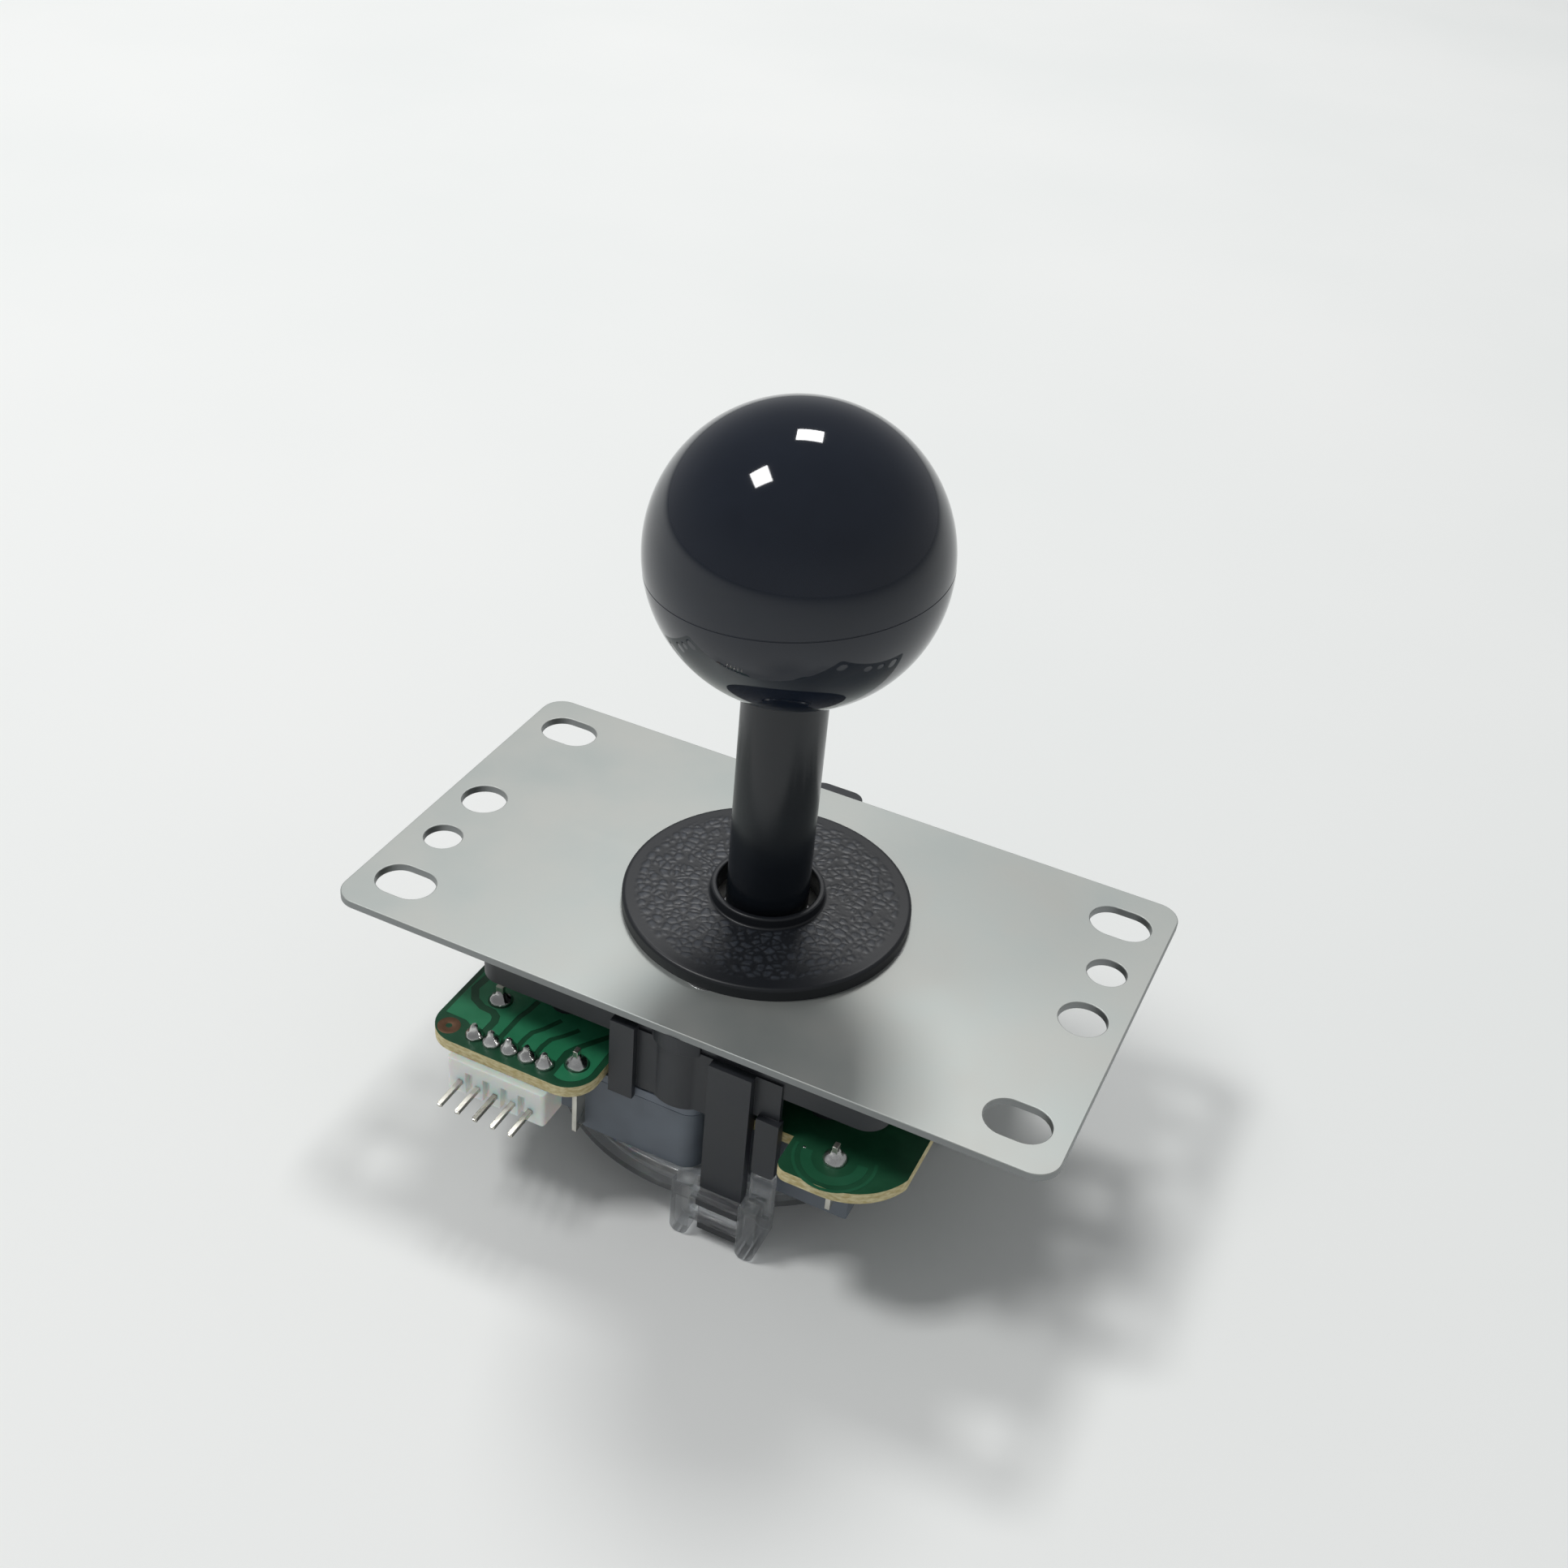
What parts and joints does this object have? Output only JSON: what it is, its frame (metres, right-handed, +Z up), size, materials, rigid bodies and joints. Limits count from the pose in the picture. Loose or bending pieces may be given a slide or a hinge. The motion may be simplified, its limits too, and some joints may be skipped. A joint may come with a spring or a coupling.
{
  "type": "arcade joystick lever",
  "caption": "Ball-topped joystick lever on a slotted steel mounting plate, with a ball pivot, leaf-arm microswitches on a circuit board and a clear square gate below.",
  "frame": {"origin": "centre of the mounting plate's top face, on the upright lever's axis", "axes": "+Z up along the upright lever to its ball, X along the plate's long side, -Y towards the header"},
  "size_m": [0.095, 0.0673, 0.0995],
  "materials": {
    "zinc_plated_steel": "satin zinc plating on pressed steel",
    "screw_steel": "bright zinc plating",
    "housing_nylon": "satin moulded nylon",
    "washer_plastic": "leather-grained moulded plastic",
    "pivot_acetal": "smooth moulded acetal",
    "seat_acetal": "smooth moulded acetal",
    "spring_steel": "bright drawn spring wire",
    "actuator_acetal": "smooth moulded acetal",
    "shaft_steel": "turned steel",
    "sleeve_plastic": "glossy extruded tube",
    "ball_plastic": "polished black plastic",
    "insert_brass": "turned brass",
    "board_laminate": "glass laminate with green solder mask",
    "solder": "bright solder",
    "header_plastic": "translucent natural nylon",
    "tinned_pins": "tin plating",
    "clear_plastic": "clear moulded polycarbonate",
    "switch_plastic": "moulded slate-grey plastic",
    "switch_cover_plastic": "moulded slate-grey plastic",
    "plunger_plastic": "moulded plastic",
    "arm_steel": "bright spring strip"
  },
  "bodies": {
    "base": {"mounting_plate": "zinc_plated_steel", "plate_screws": "screw_steel", "housing": "housing_nylon", "dust_washer": "washer_plastic", "circuit_board": "board_laminate", "solder_joints": "solder", "header_housing": "header_plastic", "header_pins": "tinned_pins", "gate_cover": "clear_plastic", "gate_insert": "clear_plastic", "switch_case_front": "switch_plastic", "switch_cover_front": "switch_cover_plastic", "switch_terminals_front": "tinned_pins", "switch_case_right": "switch_plastic", "switch_cover_right": "switch_cover_plastic", "switch_terminals_right": "tinned_pins", "switch_case_back": "switch_plastic", "switch_cover_back": "switch_cover_plastic", "switch_terminals_back": "tinned_pins", "switch_case_left": "switch_plastic", "switch_cover_left": "switch_cover_plastic", "switch_terminals_left": "tinned_pins"},
    "spring": {"return_spring": "spring_steel"},
    "pivot_ball": {"pivot": "pivot_acetal", "spring_seat": "seat_acetal"},
    "lever": {"shaft": "shaft_steel", "shaft_sleeve": "sleeve_plastic", "thrust_washer": "screw_steel", "retaining_ring": "spring_steel", "ball_top": "ball_plastic", "ball_insert": "insert_brass", "actuator": "actuator_acetal"},
    "arm_front": {"switch_arm_front": "arm_steel"},
    "plunger_front": {"switch_plunger_front": "plunger_plastic"},
    "arm_right": {"switch_arm_right": "arm_steel"},
    "plunger_right": {"switch_plunger_right": "plunger_plastic"},
    "arm_back": {"switch_arm_back": "arm_steel"},
    "plunger_back": {"switch_plunger_back": "plunger_plastic"},
    "arm_left": {"switch_arm_left": "arm_steel"},
    "plunger_left": {"switch_plunger_left": "plunger_plastic"}
  },
  "joints": [
    {"name": "lever_tilt_y", "type": "hinge", "parent": "base", "child": "spring", "pos_m": [0, 0, -0.0035], "axis": [0, 1, 0], "range_deg": [-6.5, 6.5], "stiffness_Nm_per_rad": 0.5, "deforming": ["return_spring"]},
    {"name": "lever_tilt_x", "type": "hinge", "parent": "spring", "child": "pivot_ball", "pos_m": [0, 0, -0.0035], "axis": [1, 0, 0], "range_deg": [-6.5, 6.5], "stiffness_Nm_per_rad": 0.5},
    {"name": "lever_spin", "type": "hinge", "parent": "pivot_ball", "child": "lever", "pos_m": [0, 0, -0.0035], "axis": [0, 0, 1], "continuous": true},
    {"name": "arm_swing_front", "type": "hinge", "parent": "base", "child": "arm_front", "pos_m": [-0.0177, -0.00823, -0.01775], "axis": [0, 0, 1], "range_deg": [-5.4, 5.4]},
    {"name": "plunger_slide_front", "type": "slide", "parent": "base", "child": "plunger_front", "axis": [0, 1, 0], "range_m": [-0.00165, 0.00165]},
    {"name": "arm_swing_right", "type": "hinge", "parent": "base", "child": "arm_right", "pos_m": [0.00823, -0.0177, -0.01775], "axis": [0, 0, 1], "range_deg": [-5.4, 5.4]},
    {"name": "plunger_slide_right", "type": "slide", "parent": "base", "child": "plunger_right", "axis": [1, 0, 0], "range_m": [-0.00165, 0.00165]},
    {"name": "arm_swing_back", "type": "hinge", "parent": "base", "child": "arm_back", "pos_m": [0.0177, 0.00823, -0.01775], "axis": [0, 0, 1], "range_deg": [-5.4, 5.4]},
    {"name": "plunger_slide_back", "type": "slide", "parent": "base", "child": "plunger_back", "axis": [0, 1, 0], "range_m": [-0.00165, 0.00165]},
    {"name": "arm_swing_left", "type": "hinge", "parent": "base", "child": "arm_left", "pos_m": [-0.00823, 0.0177, -0.01775], "axis": [0, 0, 1], "range_deg": [-5.4, 5.4]},
    {"name": "plunger_slide_left", "type": "slide", "parent": "base", "child": "plunger_left", "axis": [1, 0, 0], "range_m": [-0.00165, 0.00165]}
  ],
  "couplings": [
    {"joint": "arm_swing_front", "follows": "lever_tilt_x", "ratio": 0.80508},
    {"joint": "plunger_slide_front", "follows": "lever_tilt_x", "m_per_rad": 0.01425},
    {"joint": "arm_swing_right", "follows": "lever_tilt_y", "ratio": 0.80508},
    {"joint": "plunger_slide_right", "follows": "lever_tilt_y", "m_per_rad": -0.01425},
    {"joint": "arm_swing_back", "follows": "lever_tilt_x", "ratio": -0.80508},
    {"joint": "plunger_slide_back", "follows": "lever_tilt_x", "m_per_rad": 0.01425},
    {"joint": "arm_swing_left", "follows": "lever_tilt_y", "ratio": -0.80508},
    {"joint": "plunger_slide_left", "follows": "lever_tilt_y", "m_per_rad": -0.01425}
  ]
}
